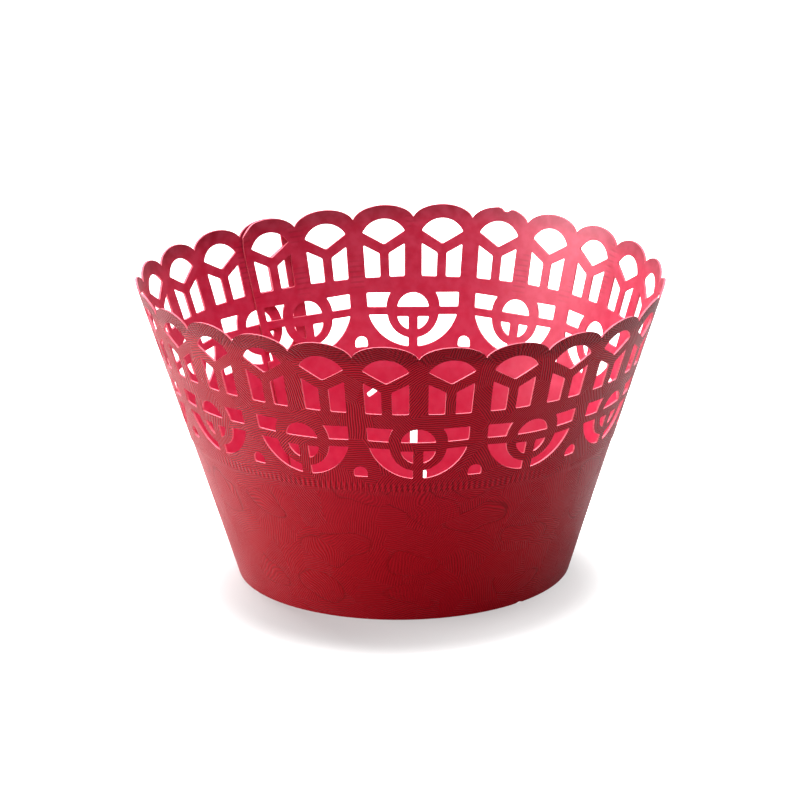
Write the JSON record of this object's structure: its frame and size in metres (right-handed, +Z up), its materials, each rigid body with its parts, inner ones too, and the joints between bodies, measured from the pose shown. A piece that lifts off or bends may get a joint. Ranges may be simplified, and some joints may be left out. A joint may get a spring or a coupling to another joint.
{
  "type": "cupcake wrapper",
  "caption": "Flared lace sleeve of embossed pearl card for a cupcake, open at top and bottom, with a scalloped rim and a die-cut band of fans, slots and medallions.",
  "frame": {"origin": "centre of the bottom edge, on the surface the wrapper stands on", "axes": "+Z up, out of the wide scalloped mouth; -Y towards the viewer of the picture"},
  "size_m": [0.0807, 0.0795, 0.0473],
  "materials": {
    "pearl_card": "deep red pearlescent card, finely embossed outside, plain bright crimson inside"
  },
  "bodies": {
    "root": {"wrapper_sheet": "pearl_card"}
  },
  "joints": []
}
